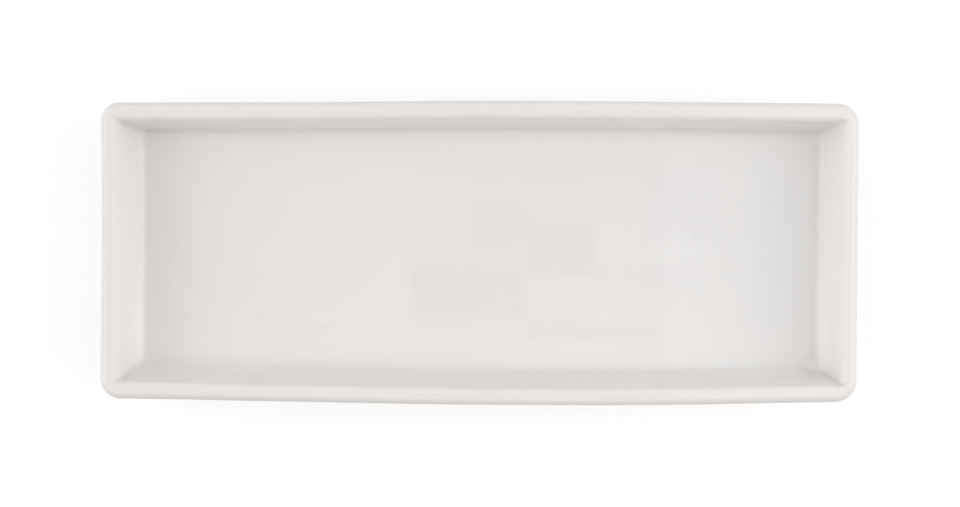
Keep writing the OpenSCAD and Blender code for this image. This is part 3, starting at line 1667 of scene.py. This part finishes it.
@dataclass(frozen=True)
class Surroundings:
    """The bright room round the table: white to look at, and a soft light from every side.

    Attributes:
        right: Light from the right, where 1 is white.
        left: Light from the left.
        far: Light from the far side.
        zenith: Light from straight above.
        white: Brightness of the room as it is seen, directly or in the gloss.
        least_rise: Least rise of a direction that still meets the ceiling.
        patches: Patches of the ceiling that are not white.
    """

    right: float = 1.01
    left: float = 1.43
    far: float = 0.21
    zenith: float = 0.23
    white: float = 1.0
    least_rise: float = 0.01
    patches: tuple[CeilingPatch, ...] = (
        CeilingPatch(-0.60, 0.02, -0.5, 0.5, (1.0, 0.94, 0.86, 1.0), 0.06),
        CeilingPatch(0.12, 0.60, -0.5, 0.5, (0.88, 0.95, 1.0, 1.0), 0.06),
        CeilingPatch(-0.088, 0.262, -0.180, 0.078, (0.74, 0.73, 0.72, 1.0), 0.018),
        CeilingPatch(-0.026, 0.232, 0.014, 0.046, (0.44, 0.41, 0.38, 1.0)),
        CeilingPatch(0.158, 0.236, -0.050, 0.046, (0.44, 0.44, 0.52, 1.0), 0.006),
        CeilingPatch(-0.029, 0.024, 0.002, 0.013, (1.0, 0.98, 0.95, 1.0)),
        CeilingPatch(-0.031, 0.026, -0.060, -0.003, (0.34, 0.30, 0.28, 1.0)),
        CeilingPatch(0.026, 0.104, -0.060, -0.010, (0.52, 0.49, 0.46, 1.0)),
        CeilingPatch(0.026, 0.104, -0.087, -0.034, (0.22, 0.19, 0.17, 1.0)),
        CeilingPatch(0.104, 0.150, -0.079, -0.036, (1.0, 0.98, 0.96, 1.0)),
        CeilingPatch(0.154, 0.214, -0.073, -0.050, (1.0, 1.0, 1.0, 1.0)),
        CeilingPatch(0.155, 0.212, -0.101, -0.076, (0.42, 0.42, 0.46, 1.0)),
        CeilingPatch(0.026, 0.160, -0.090, -0.084, (0.36, 0.32, 0.29, 1.0), 0.002),
        CeilingPatch(0.030, 0.146, -0.139, -0.091, (0.92, 0.90, 0.87, 1.0)),
        CeilingPatch(-0.095, 0.028, -0.139, -0.078, (0.24, 0.21, 0.20, 1.0)),
        CeilingPatch(0.028, 0.166, -0.160, -0.142, (0.36, 0.31, 0.27, 1.0)),
        CeilingPatch(-0.068, 0.150, 0.0458, 0.0478, (1.8, 1.8, 1.7, 1.0), 0.0006),
        CeilingPatch(-0.112, 0.200, -0.1704, -0.1684, (1.8, 1.8, 1.7, 1.0), 0.0006),
    )

    def build(self) -> bpy.types.World:
        """Puts the room round the table.

        Returns:
            The world.
        """
        world = bpy.data.worlds.new("surroundings")
        bpy.context.scene.world = world
        world.use_nodes = True
        graph = NodeGraph(world.node_tree)
        place = graph.node("ShaderNodeTexCoord")
        x, y, z = graph.split(Signal(graph, place.outputs["Generated"]))
        # The light from above gathers round the zenith; the others fall off with the angle
        light: Value = 0.0
        for share, reach in (
            (self.right, x),
            (self.left, 0.0 - x),
            (self.far, y),
            (self.zenith, z * z * z),
        ):
            light = light + graph.maths("MAXIMUM", reach, 0.0) * share
        rise = graph.maths("MAXIMUM", z, self.least_rise)
        across, along = x / rise, y / rise
        shown: object = WHITE
        for patch in self.patches:
            shown = graph.blend(patch.mask(graph, across, along), shown, patch.colour)
        lighting, looking = (
            graph.node("ShaderNodeBackground", None, {"Color": colour, "Strength": strength})
            for colour, strength in ((WHITE, light), (shown, self.white))
        )
        sky = graph.node(
            "ShaderNodeMixShader",
            None,
            {
                0: graph.seen(),
                1: Signal(graph, lighting.outputs[0]),
                2: Signal(graph, looking.outputs[0]),
            },
        )
        graph.node("ShaderNodeOutputWorld", None, {0: Signal(graph, sky.outputs[0])})
        return world


@dataclass(frozen=True)
class Studio:
    """Floor, surroundings, lamps and camera.

    Attributes:
        floor_size: Width of the floor in metres.
        floor_gap: How far it lies below the standing face, so that no faces coincide.
        floor_tone: Lightness of the floor.
        floor_roughness: Roughness of the floor.
        floor_glow: White that it adds where it is seen, over the distance from the plate; less
            lamplight falls far away.
        surroundings: The room round the table.
        softboxes: The lamps.
        camera: The camera.
    """

    floor_size: float = 8.0
    floor_gap: float = 0.00002
    floor_tone: float = 0.5
    floor_roughness: float = 0.9
    floor_glow: Span = Span(400.0, 2000.0, 0.60, 0.80)
    surroundings: Surroundings = Surroundings()
    softboxes: tuple[Softbox, ...] = (
        Softbox("left softbox", 180.0, 45.0, 1.0),
        Softbox("low left fill", 180.0, 25.0, 0.36, False),
        Softbox("right softbox", 0.0, 45.0, 1.18),
        Softbox("low right fill", 0.0, 25.0, 1.75, False),
        Softbox("high right fill", 0.0, 65.0, 0.5),
    )
    camera: OverheadCamera = OverheadCamera()

    def lay_floor(self) -> bpy.types.Object:
        """Lays the plain pale floor.

        Returns:
            The floor.
        """
        half, low = self.floor_size / 2.0, -self.floor_gap
        mesh = bpy.data.meshes.new("floor")
        corners = [(-half, -half, low), (half, -half, low), (half, half, low), (-half, half, low)]
        mesh.from_pydata(corners, [], [(0, 1, 2, 3)])
        floor = bpy.data.objects.new("floor", mesh)
        bpy.context.scene.collection.objects.link(floor)
        graph = FinishGraph("floor")
        distance = graph.vector("DISTANCE", graph.place, MIDDLE)
        glow = graph.blend(graph.seen() * graph.band(distance, self.floor_glow), BLACK, WHITE)
        shader = graph.node(
            "ShaderNodeBsdfPrincipled",
            None,
            {
                "Base Color": (self.floor_tone, self.floor_tone, self.floor_tone, 1.0),
                "Roughness": self.floor_roughness,
                "Specular IOR Level": 0.0,
                "Emission Color": glow,
                "Emission Strength": 1.0,
            },
        )
        mesh.materials.append(graph.finish(shader))
        return floor

    def build(self) -> None:
        """Sets up everything around the plate."""
        bpy.context.scene.view_settings.view_transform = "Standard"
        self.lay_floor()
        self.surroundings.build()
        for softbox in self.softboxes:
            softbox.build()
        self.camera.build()


def main() -> None:
    """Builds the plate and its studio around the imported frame."""
    logging.basicConfig(level=logging.INFO, format="%(name)s: %(message)s")
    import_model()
    section = TraySection()
    potting = Potting()
    for maker in (
        PorcelainBody(section, potting),
        GlazeCoat(section, potting),
        UndersideGlaze(section, potting),
    ):
        piece = maker.build()
        LOG.info("%s: %d faces", piece.name, len(piece.data.polygons))
    Studio().build()
    LOG.info("studio: floor, surroundings, lamps and camera")
    bpy.context.view_layer.update()


if __name__ == "__main__":
    main()
